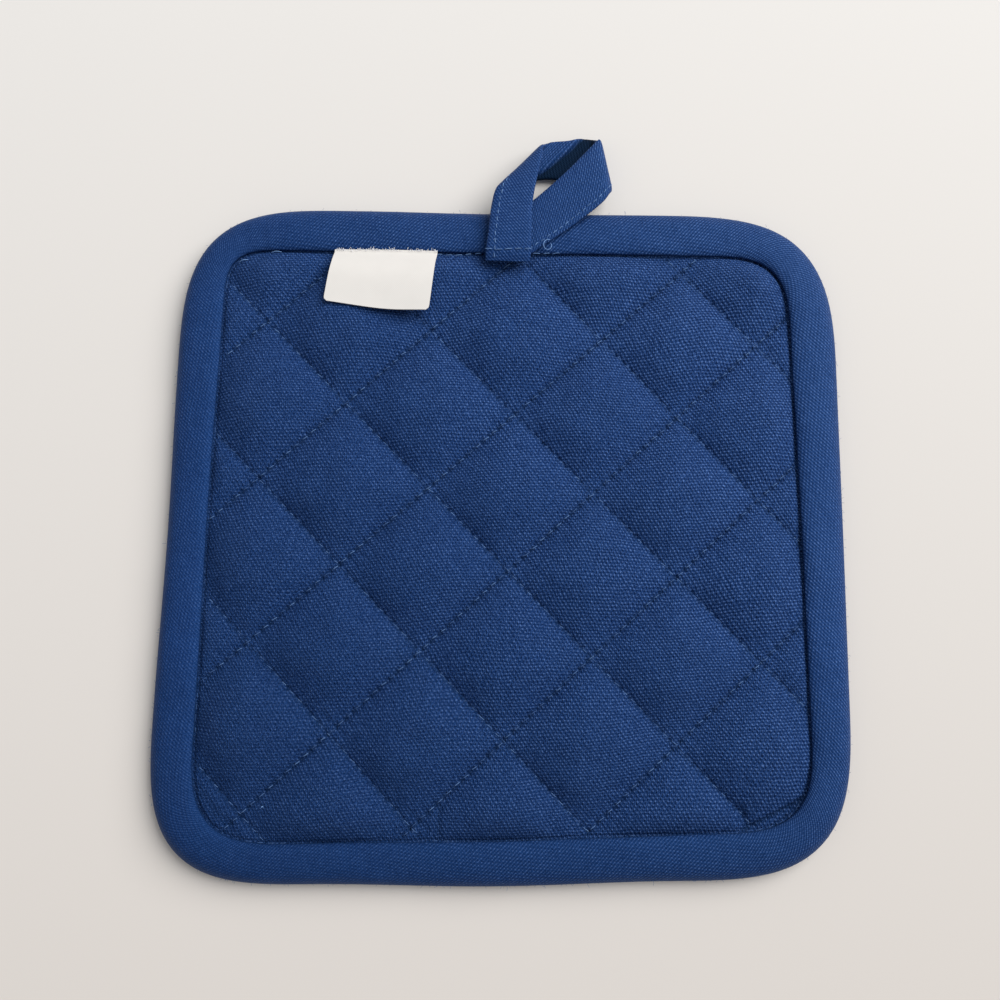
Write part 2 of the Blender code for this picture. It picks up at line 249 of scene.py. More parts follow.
# Creases where the cloth was sewn down with a fold in it.
# place, one end, other end, depth, reach
CREASES = (
    ("bottom right", (67.5, -84.8), (85.0, -75.8), 1.2, 0.6),
    ("beside the last seam", (67.3, -79.0), (68.5, -83.0), 0.7, 1.2),
    ("bottom left", (-85.4, -75.0), (-76.0, -87.0), 0.3, 1.2),
    ("bottom", (-17.8, -79.0), (-17.6, -88.0), 0.35, 0.8),
)

# Camera: its place over the pad, its tilt towards the pad's top and its roll
CAMERA_AT = (-1.6, -42.0, 297.3)
CAMERA_TILT, CAMERA_ROLL = math.radians(9.84), math.radians(0.71)
LENS, SENSOR = 36.0, 36.0

# Linear colours
BLUE_DARK, BLUE_MIDDLE, BLUE_BRIGHT = (0.0001, 0.0015, 0.028), (0.0090, 0.0415, 0.171), (0.092, 0.174, 0.416)
THREAD_DARK, THREAD_BRIGHT = (0.008, 0.036, 0.14), (0.165, 0.30, 0.56)
LABEL_SHADE, LABEL_WHITE = (0.64, 0.62, 0.59), (0.735, 0.71, 0.68)
# Painted shade of the light's falloff on the floor: its colour towards the pad's bottom and beyond its top,
# and how much darker it is painted to the right
FLOOR_NEAR, FLOOR_FAR = (0.705, 0.66, 0.62), (0.775, 0.755, 0.73)
FLOOR_RIGHT, FLOOR_REACH = 0.12, 0.18  # how much the floor darkens to the right, and in how many metres
BLACK = (0.0, 0.0, 0.0)
# Painted shade of the light's falloff: the cloth is painted paler towards the loop, darker towards the bottom
# and,
# on the pad, towards its lower left: slope of the lines of equal shade, start and end in metres, two shades
PAD_PAINTED_FALLOFF, STRIP_PAINTED_FALLOFF = (0.6, -0.14, 0.06, 0.73, 1.0), (0.0, -0.11, -0.05, 0.68, 0.86)
CLOTH_SHEEN = (
    ("Specular Tint", (0.10, 0.38, 1.0, 1)),
    ("Sheen Weight", 0.05),
    ("Sheen Roughness", 0.4),
    ("Sheen Tint", (0.1, 0.4, 1.0, 1)),
)

# Light: a soft sky, and one large window high up beyond the pad's top right corner, in metres
SKY_COLOUR, SKY_STRENGTH = (0.97, 0.98, 1.0, 1), 0.40
WINDOW_AT, WINDOW_SIZE = (1.16, 0.76, 1.35), 1.9
WINDOW_POWER, WINDOW_COLOUR = 49.0, (1.0, 0.99, 0.975)


# ---- Lines and numbers

def unit(vectors):
    return vectors / np.linalg.norm(vectors, axis=-1, keepdims=True)


def bell(distance, reach):
    """1 at no distance, falling off to about a third at the reach."""
    return np.exp(-((distance / reach) ** 2))


def distances(line):
    """How far along the line each of its points lies."""
    return np.concatenate(((0,), np.cumsum(np.linalg.norm(np.diff(line, axis=0), axis=1))))


def read_at(places, known, rows):
    """Rows that are known at some places, read at others between them."""
    return np.stack([np.interp(places, known, column) for column in rows.T], axis=1)


def directions(line):
    """A closed line's direction at each of its points, and the direction inwards from there."""
    onward = unit(np.roll(line, -1, axis=0) - np.roll(line, 1, axis=0))
    return onward, np.stack((-onward[:, 1], onward[:, 0]), axis=1)


def rounded_outline(corners, corner_steps=60, side_steps=60):
    """The outline's points, anticlockwise: a superellipse at each corner and a bowed side after it."""
    arcs = []
    for index, (_, x, y, reach, _) in enumerate(corners):
        corner = np.array((x, y))
        before = unit(np.array(corners[index - 1][1:3]) - corner) * reach
        after = unit(np.array(corners[(index + 1) % len(corners)][1:3]) - corner) * reach
        angle = math.pi / 2 * np.linspace(0, 1, corner_steps + 1)[:, None]
        left = np.clip(np.cos(angle), 0, 1) ** (2 / CORNER_SQUARENESS)
        done = np.sin(angle) ** (2 / CORNER_SQUARENESS)
        arcs.append(corner + before * (1 - done) + after * (1 - left))
    points = []
    for index, arc in enumerate(arcs):
        start, end = arc[-1], arcs[(index + 1) % len(arcs)][0]
        along = unit(end - start)
        outwards = np.array((along[1], -along[0]))
        share = np.arange(1, side_steps)[:, None] / side_steps
        bow = corners[index][4] * np.sin(math.pi * share) ** 2
        points += [arc, start + (end - start) * share + outwards * bow]
    return np.concatenate(points)


def evenly(lines, count):
    """Closed lines that correspond point by point, read again at places spaced evenly along the first one."""
    closed = [np.vstack((line, line[:1])) for line in lines]
    reached = distances(closed[0])
    places = np.linspace(0, reached[-1], count, endpoint=False)
    return [read_at(places, reached, line) for line in closed]


def smooth_rows(rows, steps):
    """Rows read from a smooth curve through the given ones (Catmull-Rom)."""
    rows = np.array(rows, float)
    ends = np.vstack((2 * rows[0] - rows[1], rows, 2 * rows[-1] - rows[-2]))
    smooth = []
    for index in range(1, len(rows)):
        before, start, end, after = ends[index - 1 : index + 3]
        t = np.arange(steps)[:, None] / steps
        square = (2 * before - 5 * start + 4 * end - after) * t**2
        cube = (3 * start - before - 3 * end + after) * t**3
        smooth.append(0.5 * (2 * start + (end - before) * t + square + cube))
    return np.vstack((*smooth, rows[-1:]))


def unevenness(x, y, height, wavelength, seed):
    """Smooth irregular waves of about this wavelength, mostly between this height and its opposite."""
    random = np.random.default_rng(seed)
    total = np.zeros(np.shape(x))
    waves = 9
    for _ in range(waves):
        turn, shift = random.uniform(0, 2 * math.pi, 2)
        reach = wavelength * random.uniform(0.7, 1.6)
        total += np.sin(2 * math.pi * (x * math.cos(turn) + y * math.sin(turn)) / reach + shift)
    return height * total / math.sqrt(waves)


EDGE_LINE, SEWN_LINE = evenly((rounded_outline(EDGE_CORNERS), rounded_outline(SEWN_CORNERS)), EDGE_POINTS)


def row_origin():
    """The pad's own origin in the row's frame, in millimetres: the binding's box is that of the edge line."""
    low, high = (np.array(corner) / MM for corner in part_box("edge_binding"))
    middle = (low + high) / 2 - np.array((*(EDGE_LINE.min(axis=0) + EDGE_LINE.max(axis=0)) / 2, 0))
    return np.array((middle[0], middle[1], low[2]))


ORIGIN = row_origin()


def distance_inside_sewn_line(points):
    """Distance of each point to the sewn line, negative outside it."""
    start = SEWN_LINE[::4]
    side = np.roll(start, -1, axis=0) - start
    found = []
    for chunk in np.array_split(points, max(1, len(points) // 4000)):
        away = chunk[:, None, :] - start[None]
        share = np.clip((away * side).sum(axis=2) / (side * side).sum(axis=1), 0, 1)
        near = np.linalg.norm(away - share[..., None] * side, axis=2).min(axis=1)
        inside = (side[:, 0] * away[..., 1] - side[:, 1] * away[..., 0]).min(axis=1) >= -0.5
        found.append(np.where(inside, near, -near))
    return np.concatenate(found)


class Seam:
    """One straight quilting seam, with the place of its needle holes, its look and a seed of its own."""

    def __init__(self, crossing, angle, phase, look, seed):
        self.start = np.array((crossing, 0.0))
        turn = math.radians(angle)
        self.along = np.array((math.cos(turn), math.sin(turn)))
        self.across = np.array((-self.along[1], self.along[0]))
        self.phase, self.look, self.seed = phase, look, seed

    def place(self, points):
        """Distance along the seam, and distance beside it."""
        away = points - self.start
        return away @ self.along, away @ self.across

    def wave(self, along):
        """1 at a needle hole, -1 half-way to the next one."""
        return np.cos(2 * math.pi * (along - self.phase) / STITCH_PITCH)


def seams_of(table, look, phase_seed, first_seed):
    random = np.random.default_rng(phase_seed)
    return [
        Seam(crossing, angle, random.uniform(0, STITCH_PITCH), look, first_seed + number)
        for number, (_, crossing, angle) in enumerate(table)
    ]


RISING = seams_of(RISING_SEAMS, RISING_LOOK, 11, 0)
FALLING = seams_of(FALLING_SEAMS, FALLING_LOOK, 12, 100)


def seam_numbers(points, table):
    """Where points lie among the seams: 2.0 on the seam with index 2, 2.5 half-way to the next one."""
    x, y = points.T
    past = [x - y / math.tan(math.radians(angle)) - crossing for _, crossing, angle in table]
    past = np.stack(past, axis=1)
    index = np.clip((past > 0).sum(axis=1) - 1, 0, len(table) - 2)
    row = np.arange(len(points))
    return index + past[row, index] / (past[row, index] - past[row, index + 1])


def lattice_points(rising, falling):
    """Where the seams with these numbers cross. A number between whole ones is a line between two seams."""
    slopes, crossings = [], []
    for number, table in ((rising, RISING_SEAMS), (falling, FALLING_SEAMS)):
        known = np.arange(len(table))
        angle = np.interp(number, known, [row[2] for row in table])
        crossings.append(np.interp(number, known, [row[1] for row in table]))
        slopes.append(1 / np.tan(np.radians(angle)))
    y = (crossings[1] - crossings[0]) / (slopes[0] - slopes[1])
    return np.stack((crossings[0] + slopes[0] * y, y), axis=-1)


# ---- The pad's relief

def swelling(share, power=SWELL_POWER):
    """0 at a seam, 1 at the middle of a diamond, round like a cushion between them."""
    return 1 - (1 - np.clip(share, 0, 1)) ** power


def stitch_relief(points):
    """How far the stitches pull the cloth in: a groove along each rising seam, a dimple at each needle hole,
    and the small puckers beside the seams."""
    depth = np.zeros(len(points))
    for seam in RISING + FALLING:
        along, beside = seam.place(points)
        near = np.abs(beside) < 4 * PUCKER_REACH
        a, b = along[near], beside[near]
        wave = seam.wave(a)
        groove = seam.look.groove * bell(b, GROOVE_REACH)
        dimple = HOLE_DEPTH * np.clip(wave, 0, 1) ** 2 * bell(b, HOLE_REACH)
        drift = unevenness(a, b, PUCKER_DRIFT, PUCKER_WAVE, seam.seed)
        pucker = PUCKER_HEIGHT * (wave + drift) * np.exp(-np.abs(b) / PUCKER_REACH)
        depth[near] += groove + dimple + pucker
    return depth


def crease_depth(points):
    depth = np.zeros(len(points))
    for _, start, end, deep, reach in CREASES:
        side, away = np.subtract(end, start), points - start
        share = np.clip(away @ side / (side @ side), 0, 1)
        depth += deep * bell(np.linalg.norm(away - share[:, None] * side, axis=1), reach)
    return depth


def seam_shade(points):
    """Painted shade: share of its brightness that the upper cloth keeps, painted darker in the ditch, the
    creases and the seams.
    """
    lost = DITCH_SHADE * bell(distance_inside_sewn_line(points), DITCH_REACH)
    lost = np.maximum(lost, CREASE_SHADE * crease_depth(points))
    for seam in RISING + FALLING:
        along, beside = seam.place(points)
        hole = np.clip(seam.wave(along), 0, 1) ** 2
        dotted = seam.look.shade * (BETWEEN_HOLES + (1 - BETWEEN_HOLES) * hole)
        seam_lost = dotted * bell(beside - seam.look.shift, SHADE_REACH)
        lost = np.maximum(lost, seam_lost + seam.look.valley * bell(beside, VALLEY_REACH))
    return 1 - lost


def pad_rise(points, inside):
    """Share of the full swelling at each point inside the sewn line."""
    rise = swelling(inside / EDGE_ROLL, EDGE_STEEPNESS)
    for table in (RISING_SEAMS, FALLING_SEAMS):
        number = seam_numbers(points, table)
        rise = rise * swelling(2 * np.abs(number - np.round(number)))
    return rise


def pad_heights(points, upper):
    """Heights of the upper or the under face at points in or outside the sewn line."""
    inside = distance_inside_sewn_line(points)
    rise = pad_rise(points, inside)
    free = np.clip(inside / RIM_WIDTH, 0, 1)
    ripples = unevenness(*points.T, *PAD_RIPPLES) * free
    pulled = stitch_relief(points)
    if not upper:
        return np.maximum(0, SEAM_LOW - SWELL_DOWN * rise + (UNDER_PULL * pulled - ripples) * free)
    lumps = unevenness(*points.T, *PAD_LUMPS) * rise
    drawn = (pulled + crease_depth(points)) * free + DITCH_DEPTH * bell(inside, DITCH_REACH)
    return SEAM_HIGH + (SWELL_UP + CROWN_PROUD) * rise + lumps + ripples - drawn


def lattice(steps):
    """Points of the seams' lattice inside the sewn line, closer together near the seams, and the edges that
    hold the seams' creases."""
    even = np.arange(steps) / steps
    shares = even - NEAR_SEAMS * np.sin(2 * math.pi * even) / (2 * math.pi)
    numbers = (np.arange(len(RISING_SEAMS) - 1)[:, None] + shares).ravel()
    rising, falling = np.meshgrid(numbers, numbers, indexing="ij")
    points = lattice_points(rising, falling)
    inside = distance_inside_sewn_line(points.reshape(-1, 2)).reshape(rising.shape) > RIM_WIDTH
    index = np.full(rising.shape, -1)
    index[inside] = np.arange(inside.sum())
    edges = []
    for line in range(0, len(numbers), steps):
        for run in (index[line], index[:, line]):
            both = (run[:-1] >= 0) & (run[1:] >= 0)
            edges.append(np.stack((run[:-1][both], run[1:][both]), axis=1))
    return points[inside], np.concatenate(edges)


def rim_rings(insets):
    """Rings with the same count of points: on the pad's edge inside the binding, and within the sewn line."""
    _, inwards = directions(SEWN_LINE)
    rings = [EDGE_LINE + share * (SEWN_LINE - EDGE_LINE) for share, _, _ in PAD_EDGE]
    rings += [SEWN_LINE + inset * inwards for inset in insets]
    return [ring[::RIM_EVERY] for ring in rings]


def pad_face(steps, insets, upper):
    """One face of the pad: its points, its triangles, and the numbers of its outermost ring of points."""
    rings = rim_rings(insets)
    inner, creases = lattice(steps)
    plan = np.concatenate((*rings, inner))
    number = np.arange(len(rings[0]))
    ring_edges = np.stack((number, np.roll(number, -1)), axis=1)
    edges = [ring_edges + index * len(number) for index in range(len(rings))]
    edges.append(creases + len(rings) * len(number))
    flat, _, triangles, sources, _, _ = geometry.delaunay_2d_cdt(
        [Vector(point) for point in plan], np.concatenate(edges).tolist(), [], 1, 0.01
    )
    flat = np.array([tuple(point) for point in flat])
    heights = pad_heights(flat, upper)
    source = np.array([found[0] if found else -1 for found in sources])
    for ring, (_, low, high) in enumerate(PAD_EDGE):
        heights[source // len(number) == ring] = high if upper else low
    order = np.empty(len(plan), int)
    order[source] = np.arange(len(flat))
    return np.column_stack((flat, heights)), np.array(triangles), order[: len(number)]


# ---- Meshes

def put_in_scene(name, data):
    thing = bpy.data.objects.new(name, data)
    bpy.context.scene.collection.objects.link(thing)
    return thing


def piece_from(name, points, faces, material, cloth=None, tone=None, crease=None):
    """A mesh object from points in millimetres. cloth is where each face's corners lie on the flat cloth, in
    millimetres, and tone is each point's brightness, which carries painted shade on the cloths. Edges sharper
    than crease stay sharp."""
    mesh = bpy.data.meshes.new(name)
    mesh.from_pydata((points + ORIGIN) * MM, [], faces)
    if cloth is not None:
        places = np.ascontiguousarray(cloth, np.float32)
        mesh.uv_layers.new(name="cloth").uv.foreach_set("vector", places.ravel())
    if tone is not None:
        tones = mesh.attributes.new("tone", "FLOAT", "POINT").data
        tones.foreach_set("value", np.ascontiguousarray(tone, np.float32))
    mesh.materials.append(material)
    mesh.shade_smooth()
    if crease:
        mesh.set_sharp_from_angle(angle=crease)
    return put_in_scene(name, mesh)


def grid(rows, columns, closed_rows=False, closed_columns=False):
    """Quads over a grid of points: their point numbers, and each corner's row and column before wrapping."""
    r = np.arange(rows if closed_rows else rows - 1)
    c = np.arange(columns if closed_columns else columns - 1)
    r, c = (index.ravel() for index in np.meshgrid(r, c, indexing="ij"))
    around = ((r, c), (r, c + 1), (r + 1, c + 1), (r + 1, c))
    corners = np.stack([np.stack(corner, axis=1) for corner in around], axis=1)
    return (corners[..., 0] % rows) * columns + corners[..., 1] % columns, corners


def threads(name, paths, radius, material, tone, sides=6):
    """Round threads along paths (count, steps, 3), closed at both ends and joined in one mesh."""
    paths = np.asarray(paths, float)
    count, steps, _ = paths.shape
    along = unit(np.gradient(paths, axis=1))
    level = unit(np.cross(along, NEARLY_UP))
    raised = np.cross(level, along)
    slim = np.ones(steps)
    slim[[0, -1]] = THREAD_TIP
    turn = 2 * math.pi * np.arange(sides) / sides
    ring = level[:, :, None] * np.cos(turn)[:, None] + raised[:, :, None] * np.sin(turn)[:, None]
    points = paths[:, :, None] + ring * (radius * slim)[:, None, None]
    one, _ = grid(steps, sides, closed_columns=True)
    caps = np.arange(sides)
    faces = []
    for number in range(count):
        first = number * steps * sides
        faces += (one + first).tolist()
        faces.append((first + caps[::-1]).tolist())
        faces.append((first + (steps - 1) * sides + caps).tolist())
    return piece_from(name, points.reshape(-1, 3), faces, material, tone=np.repeat(tone, steps * sides))


# ---- Materials

class Nodes:
    """A material's node tree, with short calls for the nodes that the cloths use."""

    def __init__(self, name):
        self.material = bpy.data.materials.new(name)
        self.material.use_nodes = True
        self.tree = self.material.node_tree
        self.shader = self.tree.nodes["Principled BSDF"]

    def put(self, value, socket):
        if isinstance(value, bpy.types.NodeSocket):
            self.tree.links.new(value, socket)
        else:
            socket.default_value = value

    def add(self, kind, inputs=(), **settings):
        """A node with these settings, and these values or links on its inputs, by name or by number."""
        node = self.tree.nodes.new(kind)
        for key, value in settings.items():
            setattr(node, key, value)
        for key, value in dict(inputs).items():
            self.put(value, node.inputs[key])
        return node

    def math(self, operation, *values):
        return self.add("ShaderNodeMath", enumerate(values), operation=operation).outputs[0]

    def times(self, first, *others):
        for other in others:
            first = self.math("MULTIPLY", first, other)
        return first

    def ramp(self, value, low, high, out_low=0.0, out_high=1.0):
        return self.add("ShaderNodeMapRange", enumerate((value, low, high, out_low, out_high))).outputs[0]

    def wave(self, number):
        """1 where number is whole, 0 half-way between."""
        return self.ramp(self.math("COSINE", self.math("MULTIPLY", number, 2 * math.pi)), -1.0, 1.0)

    def vector(self, x, y, z=0.0):
        return self.add("ShaderNodeCombineXYZ", enumerate((x, y, z))).outputs[0]

    def parts(self, vector):
        return self.add("ShaderNodeSeparateXYZ", {0: vector}).outputs[:3]

    def mix(self, share, dark, bright):
        colours = [(*colour, 1) if isinstance(colour, tuple) else colour for colour in (dark, bright)]
        return self.add("ShaderNodeMix", zip((0, 6, 7), (share, *colours)), data_type="RGBA").outputs[2]

    def noise(self, vector, scale, detail=2.0, roughness=0.5):
        inputs = {"Vector": vector, "Scale": scale, "Detail": detail, "Roughness": roughness}
        return self.add("ShaderNodeTexNoise", inputs).outputs["Fac"]

    def own_tone(self, place, darkest, brightest, start=0.0):
        """A tone of its own for each whole-numbered place. The share of them below start is the darkest."""
        inputs = {"Vector": self.vector(*place)}
        chance = self.add("ShaderNodeTexWhiteNoise", inputs, noise_dimensions="3D").outputs["Value"]
        return self.ramp(chance, start, 1.0, darkest, brightest)

    def drifted(self, place, x, y, scale, reach):
        """x and y led astray by smooth noise, so that no yarn runs quite straight."""
        inputs = {"Vector": place, "Scale": scale, "Detail": 1.0}
        noise = self.add("ShaderNodeTexNoise", inputs, noise_dimensions="2D").outputs["Color"]
        away = [self.ramp(drift, 0.0, 1.0, -reach, reach) for drift in self.parts(noise)]
        return [self.math("ADD", at, drift) for at, drift in zip((x, y), away)]

    def relief(self, height, distance):
        bump = self.add("ShaderNodeBump", {"Distance": distance * MM, "Height": height})
        self.put(bump.outputs[0], self.shader.inputs["Normal"])

    def surface(self, colour, roughness, specular):
        """Puts these on the shader, and gives the material."""
        self.put(colour, self.shader.inputs["Base Color"])
        self.shader.inputs["Roughness"].default_value = roughness
        self.shader.inputs["Specular IOR Level"].default_value = specular
        return self.material


def floats_and_holes(n, u, v):
    """The weft's floats and the holes between them, at places counted in yarns, and the tone of each: a few
    floats get a painted glint.
    """
    # Numbers of the slanting rows of floats: a float lies where both are whole
    rising, falling = (n.math("MULTIPLY", n.math(way, u, v), 0.5) for way in ("ADD", "SUBTRACT"))
    on_rising, on_falling = n.wave(rising), n.wave(falling)
    off_rising = n.math("SUBTRACT", 1.0, on_rising)
    along_float = n.times(n.math("POWER", on_rising, 1.5), n.math("POWER", on_falling, 1.5))
    dash = n.times(along_float, n.ramp(n.wave(v), 0.0, 1.0, 0.3, 1.0))
    hole = n.times(n.math("POWER", off_rising, 1.6), n.math("POWER", on_falling, 1.3))
    number, column = n.math("ROUND", rising), n.math("ROUND", falling)
    dash_tone = n.own_tone((number, column), 0.45, 1.45)
    glint = n.own_tone((number, column, 5.0), 0.0, 0.8, start=0.92)
    hole_tone = n.own_tone((n.math("FLOOR", rising), column, 9.0), 0.45, 1.3)
    return dash, n.math("ADD", dash_tone, glint), hole, hole_tone


def woven(name, yarns, painted_falloff, astray, *, contrast, lines, grain):
    """Plain weave on the cloth's own flat coordinates, in millimetres. Each float of the weft shows as a
    bright dash, with a dark hole at its upper right and its lower left, painted dark for the shade between
    the yarns.
    astray is how far the yarns stray, lines how far a row's floats run together, and grain how uneven the
    fibres leave the colour."""
    n = Nodes(name)
    uv = n.add("ShaderNodeUVMap", uv_map="cloth").outputs[0]
    x, y, _ = n.parts(uv)
    x, y = n.drifted(uv, x, y, 0.018, astray)
    x, y = n.drifted(uv, x, y, 0.3, astray / 10)
    u, v = n.math("DIVIDE", x, yarns[0]), n.math("DIVIDE", y, yarns[1])
    dash, dash_tone, hole, hole_tone = floats_and_holes(n, u, v)
    slub = n.noise(n.vector(n.math("MULTIPLY", x, 0.22), n.math("ROUND", v)), 1.0)
    patch = n.noise(n.vector(x, y, 11.0), 0.05, detail=3.0)
    fibres = n.noise(n.vector(x, y, 5.0), 1.0 / GRAIN_SIZE, detail=2.0, roughness=0.8)
    row = n.times(n.math("SUBTRACT", n.wave(v), 0.5), n.ramp(slub, 0.25, 0.75, 0.5 * lines, 1.5 * lines))
    floats = n.math("ADD", n.times(dash, dash_tone), row)
    # The weave shows the least at the left
    across, up, _ = n.parts(n.add("ShaderNodeTexCoord").outputs["Object"])
    rightness = n.math("MULTIPLY_ADD", across, 3.0, up)
    plainness = n.ramp(rightness, -0.35, 0.25, 0.5 * contrast, 1.15 * contrast)
    floats = n.times(floats, plainness, n.ramp(patch, 0.3, 0.7, 0.85, 1.15))
    bright = n.math("ADD", floats, n.ramp(fibres, 0.3, 0.7, -grain, grain))
    dark = n.times(hole, hole_tone, plainness)
    middle = n.ramp(fibres, 0.3, 0.7, 0.8 - 2 * grain, 0.8 + grain)
    middle = n.times(middle, n.ramp(slub, 0.2, 0.8, 0.85, 1.15))
    colour = n.mix(dark, n.mix(bright, n.mix(middle, BLUE_DARK, BLUE_MIDDLE), BLUE_BRIGHT), BLUE_DARK)
    # Painted shade: the points' tone and the painted falloff darken the cloth's colour towards black
    shade = n.add("ShaderNodeAttribute", attribute_name="tone").outputs["Fac"]
    slope, *reach = painted_falloff
    kept = n.times(shade, n.ramp(n.math("MULTIPLY_ADD", across, slope, up), *reach))
    height = n.math("ADD", n.math("SUBTRACT", dash, n.times(hole, 0.6)), n.times(fibres, 2 * grain))
    n.relief(height, WEAVE_RELIEF * contrast)
    for socket, value in CLOTH_SHEEN:
        n.shader.inputs[socket].default_value = value
    return n.surface(n.mix(kept, BLACK, colour), roughness=0.66, specular=0.5)


def plain_woven(name, dark, bright, yarns):
    """Fine plain weave, too small for its floats to differ."""
    n = Nodes(name)
    uv = n.add("ShaderNodeUVMap", uv_map="cloth").outputs[0]
    waves = [n.math("SINE", n.math("MULTIPLY", at, math.pi / pitch)) for at, pitch in zip(n.parts(uv), yarns)]
    height = n.ramp(n.math("MULTIPLY", *waves), -1.0, 1.0)
    cloud = n.noise(uv, 0.16, detail=3.0)
    share = n.math("MULTIPLY", n.ramp(height, 0.0, 1.0, 0.55, 1.0), n.ramp(cloud, 0.3, 0.7, 0.85, 1.1))
    n.relief(height, LABEL_RELIEF)
    return n.surface(n.mix(share, dark, bright), roughness=0.7, specular=0.2)


def spun(name, dark, bright):
    """Spun thread: its own tone for each stitch, with the ply's uneven stripes."""
    n = Nodes(name)
    tone = n.add("ShaderNodeAttribute", attribute_name="tone").outputs["Fac"]
    ply = n.noise(n.add("ShaderNodeTexCoord").outputs["Object"], 3500.0)
    share = n.math("MULTIPLY", tone, n.ramp(ply, 0.3, 0.7, 0.7, 1.25))
    n.relief(ply, THREAD_RELIEF)
    return n.surface(n.mix(share, dark, bright), roughness=0.7, specular=0.15)


def plain_floor(name):
    """Pale paper, with painted shade of the light's falloff: a little paler beyond the pad's top than towards
    its bottom and its right side.
    """
    n = Nodes(name)
    x, y, _ = n.parts(n.add("ShaderNodeTexCoord").outputs["Object"])
    colour = n.mix(n.ramp(y, -FLOOR_REACH, FLOOR_REACH), FLOOR_NEAR, FLOOR_FAR)
    colour = n.mix(n.ramp(x, -FLOOR_REACH, FLOOR_REACH, 0.0, FLOOR_RIGHT), colour, BLACK)
    return n.surface(colour, roughness=0.7, specular=0.2)


# ---- Pieces

def make_pad(material):
    """The pad's two faces, closed by a band of triangles between their outermost rings of points."""
    top, top_faces, top_rim = pad_face(TOP_STEPS, TOP_RIM, upper=True)
    under, under_faces, under_rim = pad_face(UNDER_STEPS, UNDER_RIM, upper=False)
    first = len(top)
    a, b = top_rim, under_rim + first
    next_a, next_b = np.roll(a, -1), np.roll(b, -1)
    band = np.concatenate((np.stack((next_a, a, b), axis=1), np.stack((next_a, b, next_b), axis=1)))
    points = np.concatenate((top, under))
    faces = np.concatenate((top_faces, under_faces[:, ::-1] + first, band))
    flat = np.column_stack((points[:, 0], points[:, 1] - math.tan(PAD_SKEW) * points[:, 0]))
    # Painted shade in the upper cloth's seams, ditch and creases
    tone = np.concatenate((seam_shade(top[:, :2]), np.ones(len(under))))
    return piece_from("pad_cloth", points, faces, material, cloth=flat[faces.ravel()], tone=tone)


def on_the_bias(along, across):
    """Places on the flat cloth of a strip that is cut at 45 degrees to its yarns."""
    return np.stack(((along + across) / math.sqrt(2), (across - along) / math.sqrt(2)), axis=-1)


def binding_places(share, height, corners):
    """Where the corners of the binding's faces lie on its flat cloth."""
    inward, onward = SEWN_LINE - EDGE_LINE, directions(EDGE_LINE)[0]
    ahead = (inward * onward).sum(axis=1)
    width = np.abs(inward[:, 0] * onward[:, 1] - inward[:, 1] * onward[:, 0]).mean()
    run = distances(np.vstack((EDGE_LINE, EDGE_LINE[:1])))
    deep = distances(np.column_stack((share * width, height)))
    row, column = corners[..., 0], corners[..., 1]
    along = run[row] + np.append(ahead, ahead[0])[row] * np.append(share, share[0])[column]
    return on_the_bias(along, -np.append(deep, deep[-1] + 1)[column])


def make_binding(material):
    """The strip folded over the pad's edge, as one ring of its section."""
    outside = np.maximum(smooth_rows(BINDING_OUTSIDE, 4), 0)
    share, height = np.concatenate((outside, smooth_rows(BINDING_INSIDE, 2))).T
    around, across = len(EDGE_LINE), len(share)
    points = EDGE_LINE[:, None] + share[None, :, None] * (SEWN_LINE - EDGE_LINE)[:, None]
    x, y = points[..., 0], points[..., 1]
    crown = np.clip((height - FOLD_HEIGHT) / FOLD_HEIGHT, 0, 1)
    z = height + crown * (unevenness(x, y, *BINDING_LUMPS) + unevenness(x, y, *BINDING_RIPPLES))
    faces, corners = grid(around, across, closed_rows=True, closed_columns=True)
    flat = binding_places(share, height, corners)[:, ::-1].reshape(-1, 2)
    # Painted shade on the binding's inner edge, over the ditch
    tone = np.tile(1 - BINDING_SHADE * np.clip((share - 0.93) / 0.06, 0, 1), around)
    points = np.dstack((x, y, z)).reshape(-1, 3)
    return piece_from("binding_cloth", points, faces[:, ::-1], material, cloth=flat, tone=tone)


def run_dip(row, share):
    """How far up the tape's lower run lies at a share of its width, and how much brightness it keeps under
    the painted shade of its dip.
    """
    sections, dips, fulls = np.transpose(RUN_DIP)
    section = row / TAPE_STEPS
    high = np.clip((share - np.interp(section, sections, dips)) / RUN_SLOPE + 0.5, 0, 1)
    high = high**2 * (3 - 2 * high)
    full = np.interp(section, sections, fulls)
    return RUN_LIFT * high * full, 1 - (1 - high) * full


def tape_ring(rows):
    """The tape as closed rings with rounded edges: the columns' shares of its width, the rings, and their
    points' tone, which carries the painted shade of the dip. Only the face that lies inside the loop is
    painted dark."""
    share = np.linspace(0, 1, TAPE_COLUMNS)
    share = share - NEAR_EDGES * np.sin(2 * math.pi * share) / (2 * math.pi)
    middle = rows[:, :1] + share[None, :, None] * (rows[:, 1:] - rows[:, :1])
    lift, tone = run_dip(np.arange(len(rows))[:, None], share)
    middle[..., 2] += lift
    along, across = np.gradient(middle, axis=0), np.gradient(middle, axis=1)
    normal = unit(np.cross(across, along))
    thick = TAPE_THICKNESS / 2 * (1 - np.abs(2 * share - 1) ** 9) ** 0.5
    upper = middle + normal * thick[None, :, None]
    lower = middle - normal * thick[None, :, None]
    outer_tone = np.ones_like(tone)
    outer_tone[:, [0, -1]] = tone[:, [0, -1]]
    ring = np.concatenate((upper, lower[:, -2:0:-1]), axis=1)
    return share, ring, np.concatenate((outer_tone, tone[:, -2:0:-1]), axis=1)


def closed_ends(faces, rows, columns):
    """The quads as lists, with a cap at the first and the last row."""
    ends = [np.arange(columns)[::-1].tolist(), (np.arange(columns) + (rows - 1) * columns).tolist()]
    return faces.tolist() + ends


